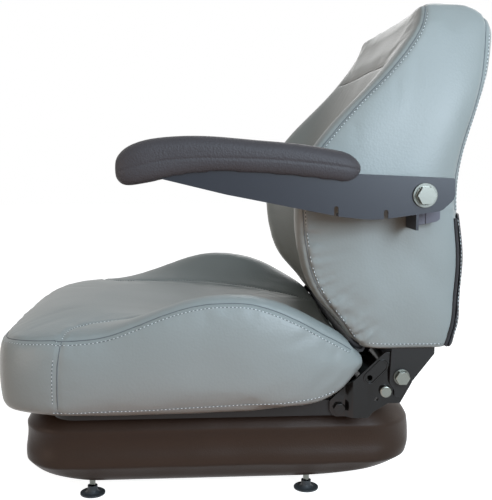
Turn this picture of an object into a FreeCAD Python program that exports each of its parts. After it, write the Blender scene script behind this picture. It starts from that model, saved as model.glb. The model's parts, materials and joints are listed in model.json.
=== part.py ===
import FreeCAD, Part
import math
import os

os.makedirs("parts", exist_ok=True)

# Frame in millimetres: origin on the mounting plane at the centre of the four studs,
# +X to the sitter's left, +Y to the rear, +Z up.

# Clearances
run_gap = 0.05
loose_gap = 0.3
track_gap = 0.4
soft_gap = 0.4

# Mounting studs and their push-on feet
stud_pitch_x = 280.0
stud_pitch_y = 285.0
stud_d = 8.0
stud_length = 16.0
stud_tip_d = 6.0
stud_tip_length = 5.5
stud_collar_d = 11.0
foot_d = 33.0
foot_rim = 2.2
foot_flare = 3.0
foot_bore_d = 10.8
foot_wall = 1.2
foot_tube_cover = 4.0
foot_floor = 2.2

# Base tray and top plate of the suspension
tray_sheet = 3.0
tray_stud_edge = 11.0
tray_corner = 18.0
tray_flange = 12.0
plate_sheet = 3.0
plate_half_width = 160.0
plate_front = -200.0
plate_rear = 258.0
plate_corner = 55.0
suspension_height = 95.0
suspension_travel = 40.0

# Scissor links, pivots and rollers
link_length = 250.0
link_thickness = 5.0
link_depth = 22.0
inner_link_x = 104.0
link_gap = 3.0
rear_pivot_y = 122.0
shaft_d = 12.0
shaft_head_d = 16.0
pin_d = 10.0
pin_head_d = 16.0
pin_head = 2.0
roller_d = 26.0
roller_width = 16.0
roller_side_gap = 4.0
outer_roller_gap = 10.0
channel_length = 62.0
channel_sheet = 3.0
channel_side_gap = 2.0
ear_sheet = 5.0
ear_gap = 3.0

# Springs and bump stops
spring_x = 45.0
spring_y = 10.0
spring_d = 58.0
spring_wire = 6.0
spring_turns = 4.5
bump_d = 18.0
bump_x = 48.0
bump_y = 139.0

# Boot
boot_wall = 3.0

# Seat pan and its bolts
pan_sheet = 2.0
pan_front = -185.0
pan_rear = 220.0
pan_corner = 32.0
pan_wall = 20.0
pan_bolt_d = 8.0
pan_bolt_head_d = 15.0
pan_bolt_head = 5.0
pan_bolt_x = 70.0
pan_bolt_front_y = -70.0
pan_bolt_rear_y = 85.0

# Seat cushion
seat_lift = 5.0
seat_half_width = 236.0
seat_front = -260.0
seat_rear = 206.0
seat_plug_rear = 138.0
seat_side_bulge = 2.0
seat_top_round = 26.0
seat_bottom_round = 22.0

# Backrest cushion and its black lower rear panel
back_half_width = 221.0
back_lift = 88.0
back_height = 432.0
back_side_round = 30.0
back_corner_share = 0.15
rear_cover_depth = 13.0
rear_reach = 60.0
rear_cover_height = 169.0

# Back frame and hinge brackets
bracket_sheet = 4.0
frame_cover = 11.0
frame_sheet = 2.0
frame_height = 219.0
frame_front = 238.0
frame_sheet_y = 290.0
frame_sheet_lift = 12.0
frame_sheet_height = 350.0
frame_lean = 34.0
frame_neck = 165.0
frame_corner = 10.0
tail_edge = 8.5
tail_step = 17.0
tail_drop = 26.0
tail_width = 6.5
tail_cover = 6.0
fold_width = 45.0
fold_sheet = 3.0
joggle = 8.0
ear_reach = 9.6
ear_y = 175.0
ear_lift = 11.0
ear_edge = 12.0
ear_drop = 11.5
ear_shoulder = 9.5
ear_corner = 11.0
hinge_foot = 36.0
hinge_foot_run = 6.0
hinge_foot_rise = 7.5
hinge_edge = 15.0
hinge_side = 8.0
hinge_corner = 6.0
hinge_head_rise = 31.0
hinge_head_front = 20.0
hinge_head_rear = 7.0
stop_edge = 16.0
stop_bolt_side = 4.0
pocket_width = 12.0
pocket_border = 2.0
pocket_rim = 1.2
pocket_back = 37.0
pocket_up = 40.0
pocket_run = 15.0
pocket_hole_d = 7.0
spare_hole_d = 4.5
spare_hole_back = 46.0
spare_hole_up = 13.0
ear_bolt_d = 8.0
ear_bolt_flats = 13.0
ear_bolt_head = 5.5
ear_nut = 6.5
hinge_bolt_y = 251.0
hinge_bolt_lift = 53.0
hinge_bolt_d = 10.0
hinge_bolt_flats = 16.0
hinge_bolt_head = 6.4
hinge_washer_d = 20.0
hinge_washer = 2.0
hinge_nut = 8.0
stop_bolt_y = 232.0
stop_bolt_lift = 34.0
stop_bolt_d = 8.0
stop_bolt_head_d = 15.0
stop_bolt_head = 5.0
stop_nut = 6.5
stop_nut_flats = 13.0

# Armrests
arm_pivot_y = 256.0
arm_pivot_lift = 194.0
arm_stand_off = 51.0
arm_sheet = 3.0
arm_flange = 22.0
arm_lip = 16.0
arm_tail_rise = 19.0
arm_top_slope = 0.0455
arm_rear = 291.0
arm_front = -42.0
arm_nose_depth = 15.0
arm_waist_y = 30.0
arm_waist_rise = 1.5
arm_waist_r = 300.0
arm_belly_r = 150.0
arm_belly_front_y = 159.0
arm_belly_front_drop = 24.0
arm_belly_rear_y = 200.0
arm_belly_rear_drop = 28.5
arm_tail_drop = 18.0
arm_tail_r = 15.0
arm_tail_side = 4.0
arm_tail_end = 6.0
notch_width = 5.0
notch_height = 12.0
notch_front_y = 155.0
notch_rear_y = 212.0
bush_d = 30.0
bush_spigot_d = 18.0
arm_bolt_d = 12.0
arm_bolt_flats = 19.0
arm_bolt_head = 8.0
arm_washer_d = 28.0
arm_washer = 2.5
arm_nut = 8.0
arm_bolt_end = 1.0
stop_reach = 19.0
stop_front_y = 250.0
stop_stand_off = 2.0
stop_top_gap = 2.0
stop_length = 34.5
stop_depth = 21.5
stop_tail_depth = 13.0
stop_tail_run = 4.5
stop_tail_rise = 3.0
stop_groove = 2.0
stop_groove_depth = 1.2
stop_peg_d = 12.0
stop_peg_y = 268.0
stop_peg_drop = 26.0
stop_tab_depth = 23.0
stop_tab_overlap = 12.0
pad_inset = 18.0
pad_half_width = 28.0
pad_round = 15.0
pad_front = -92.0
pad_rear = 183.0
pad_lift = 11.5
pad_height = 54.5
pad_screw_inset = 13.0
pad_screw_d = 5.0
pad_screw_head_d = 11.0
pad_screw_head = 3.5
pad_screw_length = 18.0
pad_screw_front_y = 20.0
pad_screw_rear_y = 140.0

# Places that follow from the sizes
tray_half_width = stud_pitch_x / 2 + tray_stud_edge
tray_half_length = stud_pitch_y / 2 + tray_stud_edge
plate_under = suspension_height - plate_sheet
low_pivot_z = tray_sheet + track_gap + roller_d / 2
high_pivot_z = plate_under - track_gap - roller_d / 2
link_rise = high_pivot_z - low_pivot_z
front_pivot_y = rear_pivot_y - math.sqrt(link_length ** 2 - link_rise ** 2)
track_height = roller_d + 2 * track_gap
outer_link_x = inner_link_x + link_thickness + link_gap
inner_roller_x = inner_link_x - roller_side_gap - roller_width
outer_roller_x = outer_link_x + link_thickness + outer_roller_gap
frame_x = back_half_width - frame_cover
seat_bracket_x = frame_x - 2 * bracket_sheet
pan_half_width = seat_bracket_x - joggle
pan_top = suspension_height + pan_sheet
seat_base_z = suspension_height + seat_lift
ear_z = suspension_height + ear_lift
hinge_bolt_z = suspension_height + hinge_bolt_lift
stop_bolt_z = suspension_height + stop_bolt_lift
back_bottom = suspension_height + back_lift
back_top = back_bottom + back_height
rear_cover_top = back_bottom + rear_cover_height
frame_top = back_bottom + frame_height
frame_sheet_low = back_bottom + frame_sheet_lift
frame_sheet_high = frame_sheet_low + frame_sheet_height
frame_reach = back_half_width + arm_stand_off
arm_nut_corners = arm_bolt_flats * 2 / math.sqrt(3)
arm_pivot_z = back_bottom + arm_pivot_lift
arm_top_rear_z = arm_pivot_z + arm_tail_rise
arm_outer_x = back_half_width + arm_stand_off
stop_outer_x = back_half_width + stop_reach
stop_top_z = arm_pivot_z - bush_d / 2 - stop_top_gap
stop_peg_z = arm_pivot_z - stop_peg_drop
pad_centre_x = arm_outer_x - pad_inset
pad_screw_x = arm_outer_x - pad_screw_inset
pad_low_z = arm_pivot_z + pad_lift
foot_floor_z = -stud_length - stud_tip_length - foot_floor


def vec(x, y, z):
    return FreeCAD.Vector(x, y, z)


def box(x0, x1, y0, y1, z0, z1):
    return Part.makeBox(x1 - x0, y1 - y0, z1 - z0, vec(x0, y0, z0))


def rod_x(d, x0, x1, y, z):
    return Part.makeCylinder(d / 2, x1 - x0, vec(x0, y, z), vec(1, 0, 0))


def rod_z(d, x, y, z0, z1):
    return Part.makeCylinder(d / 2, z1 - z0, vec(x, y, z0), vec(0, 0, 1))


def mirrored(shape):
    return shape.mirror(vec(0, 0, 0), vec(1, 0, 0))


def fused(shapes):
    return shapes[0].multiFuse(shapes[1:]).removeSplitter()


def save(name, shape):
    shape.exportStep("parts/" + name + ".step")


def save_group(name, solids):
    save(name, Part.makeCompound(solids))


def save_pair(name, shape):
    save(name + "_left", shape)
    save(name + "_right", mirrored(shape))


# Closed outline from corners (a, b, radius); place turns (a, b) into a point.
def outline(corners, place):
    edges = []
    arcs = []
    count = len(corners)
    for i in range(count):
        a, b, radius = corners[i]
        here = place(a, b)
        before = (place(*corners[i - 1][:2]) - here).normalize()
        after = (place(*corners[(i + 1) % count][:2]) - here).normalize()
        half = before.getAngle(after) / 2
        reach = radius / math.tan(half)
        middle = (before + after).normalize() * (radius / math.sin(half) - radius)
        arcs.append((here + before * reach, here + middle, here + after * reach))
    for i in range(count):
        start, middle, end = arcs[i]
        if corners[i][2] > 0:
            edges.append(Part.Arc(start, middle, end).toShape())
        following = arcs[(i + 1) % count][0]
        if end.distanceToPoint(following) > 1e-6:
            edges.append(Part.makeLine(end, following))
    return Part.Wire(edges)


def side_plate(corners, x0, x1):
    wire = outline(corners, lambda a, b: vec(x0, a, b))
    return Part.Face(wire).extrude(vec(x1 - x0, 0, 0))


def flat_plate(half_width, front, rear, radius, z0, z1):
    wire = rounded_ring(half_width, front, rear, radius, z0)
    return Part.Face(wire).extrude(vec(0, 0, z1 - z0))


def rounded_ring(half_width, front, rear, radius, z):
    corners = [(-half_width, front, radius), (half_width, front, radius),
               (half_width, rear, radius), (-half_width, rear, radius)]
    return outline(corners, lambda a, b: vec(a, b, z))


def hex_x(flats, x0, x1, y, z):
    reach = flats / math.sqrt(3)
    turns = [math.radians(60 * i) for i in range(6)]
    corners = [(y + reach * math.cos(t), z + reach * math.sin(t), 0) for t in turns]
    return side_plate(corners, x0, x1)


# Bar with round ends about two pivots in the YZ plane
def link_bar(start, end, depth, x0, x1):
    along = vec(0, end[0] - start[0], end[1] - start[1]).normalize()
    across = vec(0, -along.z, along.y) * (depth / 2)
    first = vec(x0, start[0], start[1])
    last = vec(x0, end[0], end[1])
    edges = [Part.makeLine(first + across, last + across),
             Part.Arc(last + across, last + along * (depth / 2), last - across).toShape(),
             Part.makeLine(last - across, first - across),
             Part.Arc(first - across, first - along * (depth / 2), first + across).toShape()]
    return Part.Face(Part.Wire(edges)).extrude(vec(x1 - x0, 0, 0))


# Closed section, alike on both sides of the middle plane: one curve through the points of the left
# half, square to that plane at both ends, and its mirror image
def even_section(points):
    curve = Part.BSplineCurve()
    curve.interpolate(points, InitialTangent=vec(1, 0, 0), FinalTangent=vec(-1, 0, 0))
    half = curve.toShape()
    other = mirrored(half)
    return Part.Wire([half, other])


def skin(wires, ruled=False):
    return Part.makeLoft(wires, True, ruled, False, 3)


def mix(a, b, share):
    return a + (b - a) * share


def stud_places():
    half_x = stud_pitch_x / 2
    half_y = stud_pitch_y / 2
    return [(x, y) for x in (-half_x, half_x) for y in (-half_y, half_y)]


def mounting_studs():
    studs = []
    for x, y in stud_places():
        shank = rod_z(stud_d, x, y, -stud_length, 0)
        collar = rod_z(stud_collar_d, x, y, 0, tray_sheet)
        tip = rod_z(stud_tip_d, x, y, -stud_length - stud_tip_length, -stud_length)
        studs.append(fused([shank, collar, tip]))
    return studs


# Turned foot: flat flange, flared root, tube that stands clear of the stud and grips its tip
def stud_feet():
    grip = stud_tip_d / 2 + run_gap
    bore = foot_bore_d / 2
    tube = bore + foot_wall
    rim_z = foot_floor_z + foot_rim
    step_z = -stud_length - loose_gap
    tip_z = -stud_length - stud_tip_length
    top_z = -stud_length + foot_tube_cover
    profile = [(0, foot_floor_z), (foot_d / 2, foot_floor_z), (foot_d / 2, rim_z),
               (tube + foot_flare, rim_z), (tube, rim_z + foot_flare), (tube, top_z),
               (bore, top_z), (bore, step_z), (grip, step_z), (grip, tip_z), (0, tip_z)]
    points = [vec(r, 0, z) for r, z in profile]
    face = Part.Face(Part.makePolygon(points + points[:1]))
    foot = face.revolve(vec(0, 0, 0), vec(0, 0, 1), 360)
    feet = []
    for x, y in stud_places():
        placed = foot.copy()
        placed.translate(vec(x, y, 0))
        feet.append(placed)
    return feet


# C-shaped roller channel along Y: wall at wall_x, lip reaching to lip_x
def roller_channel(wall_x, lip_x, deck_z, side):
    front = front_pivot_y - channel_length / 2 - (link_length - (rear_pivot_y - front_pivot_y)) / 2
    rear = front + channel_length
    outward = math.copysign(channel_sheet, wall_x - lip_x)
    lip_z = deck_z + side * track_height
    end_z = lip_z + side * channel_sheet
    wall = box(*sorted((wall_x, wall_x + outward)), front, rear, *sorted((deck_z, end_z)))
    lip = box(*sorted((wall_x + outward, lip_x)), front, rear, *sorted((lip_z, end_z)))
    return fused([wall, lip])


# Upright ear for a rear pivot, standing on deck_z
def pivot_ear(x, deck_z, pivot_z):
    reach = link_depth / 2 + ear_gap
    foot_half = reach + ear_sheet
    side = math.copysign(1.0, pivot_z - deck_z)
    corners = [(rear_pivot_y - foot_half, deck_z, 0), (rear_pivot_y + foot_half, deck_z, 0),
               (rear_pivot_y + reach * 0.8, pivot_z + side * reach * 0.8, reach * 0.6),
               (rear_pivot_y - reach * 0.8, pivot_z + side * reach * 0.8, reach * 0.6)]
    ear = side_plate(corners, x, x + ear_sheet)
    return ear.cut(rod_x(shaft_d + 2 * run_gap, x - 1, x + ear_sheet + 1, rear_pivot_y, pivot_z))


def base_tray():
    front = -tray_half_length
    floor = flat_plate(tray_half_width, front, -front, tray_corner, 0, tray_sheet)
    rim = flat_plate(tray_half_width, front, -front, tray_corner, 0, tray_flange)
    room = flat_plate(tray_half_width - tray_sheet, front + tray_sheet, -front - tray_sheet,
                      tray_corner - tray_sheet, 0, tray_flange)
    wall_x = outer_roller_x + roller_width + channel_side_gap
    channel = roller_channel(wall_x, outer_roller_x - channel_side_gap, tray_sheet, 1)
    ear = pivot_ear(inner_link_x - ear_gap - ear_sheet, tray_sheet, low_pivot_z)
    tray = fused([floor, rim.cut(room), channel, mirrored(channel), ear, mirrored(ear)])
    for x, y in stud_places():
        tray = tray.cut(rod_z(stud_collar_d + 2 * run_gap, x, y, -1, tray_sheet + 1))
    return tray


def pan_bolt_places():
    rows = (pan_bolt_front_y, pan_bolt_rear_y)
    return [(x, y) for x in (-pan_bolt_x, pan_bolt_x) for y in rows]


def top_plate():
    deck = flat_plate(plate_half_width, plate_front, plate_rear, plate_corner, plate_under, suspension_height)
    wall_x = inner_roller_x - channel_side_gap
    channel = roller_channel(wall_x, inner_roller_x + roller_width + channel_side_gap, plate_under, -1)
    ear = pivot_ear(outer_link_x + link_thickness + ear_gap, plate_under, high_pivot_z)
    plate = fused([deck, channel, mirrored(channel), ear, mirrored(ear)])
    for x, y in pan_bolt_places():
        plate = plate.cut(rod_z(pan_bolt_d + 2 * run_gap, x, y, plate_under - 1, suspension_height + 1))
    return plate


def pan_bolts():
    bolts = []
    for x, y in pan_bolt_places():
        shank = rod_z(pan_bolt_d, x, y, plate_under, pan_top)
        head = rod_z(pan_bolt_head_d, x, y, plate_under - pan_bolt_head, plate_under)
        bolts.append(fused([shank, head]))
    return bolts


def link_middle():
    return (rear_pivot_y + front_pivot_y) / 2, (low_pivot_z + high_pivot_z) / 2


def inner_link():
    low = (rear_pivot_y, low_pivot_z)
    high = (front_pivot_y, high_pivot_z)
    x0 = inner_link_x
    x1 = inner_link_x + link_thickness
    link = link_bar(low, high, link_depth, x0, x1)
    link = link.cut(rod_x(shaft_d + 2 * run_gap, x0 - 1, x1 + 1, *low))
    link = link.cut(rod_x(pin_d + 2 * run_gap, x0 - 1, x1 + 1, *high))
    return link.cut(rod_x(pin_d + 2 * run_gap, x0 - 1, x1 + 1, *link_middle()))


def outer_link():
    low = (front_pivot_y, low_pivot_z)
    high = (rear_pivot_y, high_pivot_z)
    x0 = outer_link_x
    x1 = outer_link_x + link_thickness
    link = link_bar(low, high, link_depth, x0, x1)
    link = link.cut(rod_x(shaft_d + 2 * run_gap, x0 - 1, x1 + 1, *high))
    link = link.cut(rod_x(pin_d + 2 * run_gap, x0 - 1, x1 + 1, *low))
    return link.cut(rod_x(pin_d + 2 * loose_gap, x0 - 1, x1 + 1, *link_middle()))


# Shaft across the seat with a retaining head outside the outermost piece that it carries
def pivot_shaft(reach, z):
    bar = rod_x(shaft_d, -reach, reach, rear_pivot_y, z)
    head = rod_x(shaft_head_d, reach, reach + pin_head, rear_pivot_y, z)
    return fused([bar, head, mirrored(head)])


def lower_shaft():
    return pivot_shaft(inner_link_x + link_thickness + loose_gap, low_pivot_z)


def upper_shaft():
    return pivot_shaft(outer_link_x + link_thickness + ear_gap + ear_sheet + loose_gap, high_pivot_z)


def centre_pin():
    y, z = link_middle()
    inner = inner_link_x - loose_gap
    outer = outer_link_x + link_thickness + loose_gap
    bar = rod_x(pin_d, inner, outer, y, z)
    inner_head = rod_x(pin_head_d, inner - pin_head, inner, y, z)
    outer_head = rod_x(pin_head_d, outer, outer + pin_head, y, z)
    return fused([bar, inner_head, outer_head])


def inner_axle():
    return rod_x(pin_d, inner_roller_x - 1.0, inner_link_x + link_thickness, front_pivot_y, high_pivot_z)


def outer_axle():
    return rod_x(pin_d, outer_link_x, outer_roller_x + roller_width + 1.0, front_pivot_y, low_pivot_z)


def roller(x0, z):
    wheel = rod_x(roller_d, x0, x0 + roller_width, front_pivot_y, z)
    wheel = wheel.makeChamfer(1.0, wheel.Edges)
    return wheel.cut(rod_x(pin_d + 2 * run_gap, x0 - 1, x0 + roller_width + 1, front_pivot_y, z))


# Coil spring of square wire with half a wire of room at each end
def suspension_spring():
    radius = (spring_d - spring_wire) / 2
    half = spring_wire / 2
    height = plate_under - tray_sheet - spring_wire - 2 * loose_gap
    coil = Part.makeHelix(height / spring_turns, height, radius)
    corners = [(radius - half, -half), (radius + half, -half), (radius + half, half), (radius - half, half)]
    points = [vec(r, 0, z) for r, z in corners]
    section = Part.makePolygon(points + points[:1])
    spring = Part.Wire(coil).makePipeShell([section], True, True)
    spring.translate(vec(spring_x, spring_y, tray_sheet + half + loose_gap))
    return spring


# Waisted rubber buffer that meets the top plate at the end of the travel
def bump_stops():
    height = plate_under - suspension_travel - loose_gap - tray_sheet
    edge = bump_d / 2
    waist = edge * 0.82
    curve = Part.Arc(vec(edge, 0, 0), vec(waist, 0, height / 2), vec(edge * 0.9, 0, height)).toShape()
    top = Part.makeLine(vec(edge * 0.9, 0, height), vec(0, 0, height))
    axis = Part.makeLine(vec(0, 0, height), vec(0, 0, 0))
    bottom = Part.makeLine(vec(0, 0, 0), vec(edge, 0, 0))
    buffer = Part.Face(Part.Wire([curve, top, axis, bottom])).revolve(vec(0, 0, 0), vec(0, 0, 1), 360)
    stops = []
    for x in (-bump_x, bump_x):
        for y in (-bump_y, bump_y):
            placed = buffer.copy()
            placed.translate(vec(x, y, tray_sheet))
            stops.append(placed)
    return stops


# Boot sections from the tray up: height share, then how far it stands out beyond the tray
# at the sides, at the front and at the rear, and the corner radius. The inside of its flat floor is raised
boot_sections = [
    (0.000, 0.0, 0.0, 0.0, 22.0),
    (0.035, 6.0, 31.0, 52.0, 42.0),
    (0.090, 11.0, 56.0, 95.0, 54.0),
    (0.170, 15.0, 68.0, 113.0, 60.0),
    (0.290, 20.0, 74.0, 125.0, 64.0),
    (0.440, 26.0, 77.0, 132.0, 66.0),
    (0.580, 26.0, 76.0, 132.0, 66.0),
    (0.700, 21.0, 73.0, 128.0, 64.0),
    (0.820, 22.0, 72.0, 124.0, 64.0),
    (0.930, 16.0, 64.0, 117.0, 62.0),
]


def boot_wires(inset):
    edge = boot_wall + loose_gap - inset
    wires = []
    for share, side, front, rear, radius in boot_sections:
        floor = inset * (1 - 2 * share) if 0 < share < 0.5 else 0
        wires.append(rounded_ring(tray_half_width + edge + side, -tray_half_length - edge - front,
                                  tray_half_length + edge + rear, radius - inset,
                                  suspension_height * share + floor))
    collar = boot_wall + loose_gap - inset
    wires.append(rounded_ring(plate_half_width + collar, plate_front - collar, plate_rear + collar,
                              plate_corner + collar, suspension_height))
    return wires


def suspension_boot():
    shell = skin(boot_wires(0), True).cut(skin(boot_wires(boot_wall), True))
    tray_room = flat_plate(tray_half_width + loose_gap, -tray_half_length - loose_gap,
                           tray_half_length + loose_gap, tray_corner + loose_gap, -1, tray_flange + 1)
    plate_room = flat_plate(plate_half_width + loose_gap, plate_front - loose_gap, plate_rear + loose_gap,
                            plate_corner + loose_gap, plate_under - 1, suspension_height + 1)
    return shell.cut(tray_room).cut(plate_room)


def pan_block(grow, z0, z1):
    return flat_plate(pan_half_width + grow, pan_front - grow, pan_rear + grow, pan_corner + grow, z0, z1)


def seat_pan():
    rim_z = suspension_height + pan_wall
    pan = pan_block(0, suspension_height, rim_z).cut(pan_block(-pan_sheet, pan_top, rim_z))
    for x, y in pan_bolt_places():
        pan = pan.cut(rod_z(pan_bolt_d + 2 * run_gap, x, y, suspension_height - 1, pan_top + 1))
    ear_bore = rod_x(ear_bolt_d + 2 * run_gap, pan_half_width - 10, seat_bracket_x, ear_y, ear_z)
    return pan.cut(ear_bore).cut(mirrored(ear_bore))


# Seat stations from front to rear: length share, width share, height of the lower edge,
# of the middle and of the side bolster above the seat base
seat_stations = [
    (0.000, 0.47, 30.0, 78.0, 76.0),
    (0.009, 0.64, 17.0, 90.0, 86.0),
    (0.029, 0.77, 7.5, 99.0, 96.0),
    (0.064, 0.87, 5.0, 107.5, 103.5),
    (0.124, 0.94, 5.0, 115.0, 109.5),
    (0.201, 0.98, 5.0, 116.5, 111.5),
    (0.311, 0.99, 6.0, 113.5, 116.5),
    (0.422, 1.00, 7.0, 108.0, 132.0),
    (0.532, 1.00, 8.0, 103.0, 149.0),
    (0.642, 1.00, 9.0, 97.0, 155.0),
    (0.742, 1.00, 10.0, 91.0, 148.5),
    (0.830, 0.99, 12.0, 85.0, 132.0),
    (0.907, 0.97, 22.0, 79.0, 112.0),
    (0.962, 0.94, 42.0, 74.0, 92.5),
    (1.000, 0.88, 60.0, 68.0, 74.0),
]


def seat_section(station):
    along, width, low, middle, crest = station
    y = mix(seat_front, seat_rear, along)
    w = seat_half_width * width
    height = crest - low
    top = min(seat_top_round, height * 0.42)
    foot = min(seat_bottom_round, height * 0.36)
    half = [(w * 0.55, low), (w - foot, low + foot * 0.06), (w - foot * 0.26, low + foot * 0.36),
            (w, low + foot * 1.1), (w + seat_side_bulge, mix(low, crest, 0.52)), (w, crest - top),
            (w - top * 0.3, crest - top * 0.28), (w - top * 1.2, crest),
            (w * 0.72, mix(middle, crest, 0.6)), (w * 0.45, mix(middle, crest, 0.14))]
    return even_section([vec(x, y, seat_base_z + z) for x, z in [(0, low)] + half + [(0, middle)]])


def seat_cushion():
    body = skin([seat_section(station) for station in seat_stations])
    rim_z = suspension_height + pan_wall
    inside = -pan_sheet - soft_gap
    plug = flat_plate(pan_half_width + inside, pan_front - inside, seat_plug_rear, pan_corner + inside,
                      pan_top + loose_gap, rim_z + pan_wall)
    ring = pan_block(soft_gap, 0, rim_z + soft_gap).cut(pan_block(inside, 0, rim_z + soft_gap))
    return body.fuse(plug).cut(ring).removeSplitter()


# Backrest stations from the bottom up: height share, width share, rear face, wing front and middle front
back_stations = [
    (0.000, 0.970, 313.0, 203.0, 212.0),
    (0.016, 0.988, 320.5, 192.0, 207.0),
    (0.051, 0.996, 325.0, 178.0, 201.0),
    (0.120, 1.000, 330.0, 153.0, 194.0),
    (0.201, 1.000, 333.0, 130.0, 189.0),
    (0.294, 1.000, 333.0, 119.5, 187.0),
    (0.375, 1.000, 328.0, 116.0, 188.0),
    (0.456, 1.000, 325.0, 118.5, 191.0),
    (0.549, 0.995, 331.0, 131.0, 198.0),
    (0.641, 0.980, 342.0, 160.0, 210.0),
    (0.734, 0.955, 354.0, 200.0, 225.0),
    (0.826, 0.920, 362.0, 236.0, 244.0),
    (0.907, 0.885, 363.0, 262.0, 265.0),
    (0.958, 0.835, 350.5, 271.0, 275.0),
    (0.986, 0.760, 329.0, 279.0, 283.0),
    (1.000, 0.660, 311.0, 289.0, 292.0),
]


def back_section(station):
    up, width, rear, wing, middle = station
    z = mix(back_bottom, back_top, up)
    w = back_half_width * width
    edge = min(back_side_round, (rear - wing) * back_corner_share)
    half = [(w * 0.6, rear - 1.0), (w - edge, rear - edge * 0.14), (w - edge * 0.24, rear - edge * 0.5),
            (w, rear - edge * 1.25), (w, mix(rear, wing, 0.55)), (w - edge * 0.06, wing + edge * 0.85),
            (w - edge * 0.38, wing + edge * 0.2), (w - edge * 1.15, wing),
            (w * 0.7, mix(middle, wing, 0.52)), (w * 0.45, mix(middle, wing, 0.08))]
    return even_section([vec(x, y, z) for x, y in [(0, rear)] + half + [(0, middle)]])


# Space behind the rear face line moved forward by inset, up to a height: parts off the black lower panel
def rear_space(inset, top):
    line = [(station[2] - inset, mix(back_bottom, back_top, station[0])) for station in back_stations[1:10]]
    curve = Part.BSplineCurve()
    curve.interpolate([vec(-frame_reach, y, z) for y, z in line])
    low_y, low_z = line[0]
    high_y, high_z = line[-1]
    under = back_bottom - 5.0
    far = high_y + rear_reach
    points = [vec(-frame_reach, y, z) for y, z in ((high_y, high_z), (far, high_z), (far, under),
                                                   (low_y, under), (low_y, low_z))]
    wire = Part.Wire([curve.toShape()] + Part.makePolygon(points).Edges)
    space = Part.Face(wire).extrude(vec(2 * frame_reach, 0, 0))
    return space.common(box(-frame_reach, frame_reach, 0, far, under, top))


def back_body():
    return skin([back_section(station) for station in back_stations])


# Bent back sheet of the frame, grown on every side: a wide upright leaf and a narrower leaning one
def back_sheet(grow):
    low = frame_sheet_low - grow
    high = frame_sheet_high + grow
    front = frame_sheet_y - grow
    rear = frame_sheet_y + frame_sheet + grow
    upright = [(front, low, 0), (rear, low, 0), (rear, frame_top + grow, 0), (front, frame_top + grow, 0)]
    leaning = [(front, frame_top - 1, 0), (rear, frame_top - 1, 0), (rear + frame_lean, high, 0),
               (front + frame_lean, high, 0)]
    wide = side_plate(upright, -frame_x - grow, frame_x + grow)
    narrow = side_plate(leaning, -frame_neck - grow, frame_neck + grow)
    return fused([wide, narrow])


# Side plate of the frame: the bracket below the backrest and the upright inside it
def frame_upright():
    y = hinge_bolt_y
    z = hinge_bolt_z
    rear = frame_sheet_y + frame_sheet
    low = z - tail_drop
    corners = [(y - hinge_edge, z - hinge_side, frame_corner), (y - tail_edge, z - tail_step, frame_corner / 3),
               (y - tail_edge, low, frame_corner / 4), (y - tail_edge + tail_width, low, frame_corner / 4),
               (rear, back_bottom - tail_cover, frame_corner / 4), (rear, frame_top, 0),
               (frame_front, frame_top, frame_corner),
               (frame_front, back_bottom + tail_cover, frame_corner / 2)]
    plate = side_plate(corners, frame_x - bracket_sheet, frame_x)
    for d, hole_y, hole_z in ((hinge_bolt_d, y, z), (arm_bolt_d, arm_pivot_y, arm_pivot_z)):
        plate = plate.cut(rod_x(d + 2 * run_gap, frame_x - 9, frame_x + 1, hole_y, hole_z))
    return plate


def back_frame():
    upright = frame_upright()
    return fused([upright, mirrored(upright), back_sheet(0)])


def backrest_cushion():
    room = soft_gap
    rear = frame_sheet_y + frame_sheet + room
    upright = box(frame_x - bracket_sheet - room, frame_x + room, frame_front - room, rear,
                  back_bottom - 1, frame_top + room)
    bush = rod_x(bush_d + 2 * room, frame_x - 1, frame_reach, arm_pivot_y, arm_pivot_z)
    peg = rod_x(stop_peg_d + 2 * room, frame_x - 1, frame_reach, stop_peg_y, stop_peg_z)
    nut_x = frame_x - bracket_sheet - arm_nut - arm_bolt_end - room
    nut = rod_x(arm_nut_corners + 2 * room, nut_x, frame_x, arm_pivot_y, arm_pivot_z)
    side = upright.multiFuse([bush, peg, nut])
    body = back_body().cut(rear_space(rear_cover_depth + soft_gap, rear_cover_top + soft_gap))
    return body.cut(side).cut(mirrored(side)).cut(back_sheet(room))


def rear_cover():
    return back_body().common(rear_space(rear_cover_depth, rear_cover_top))


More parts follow.
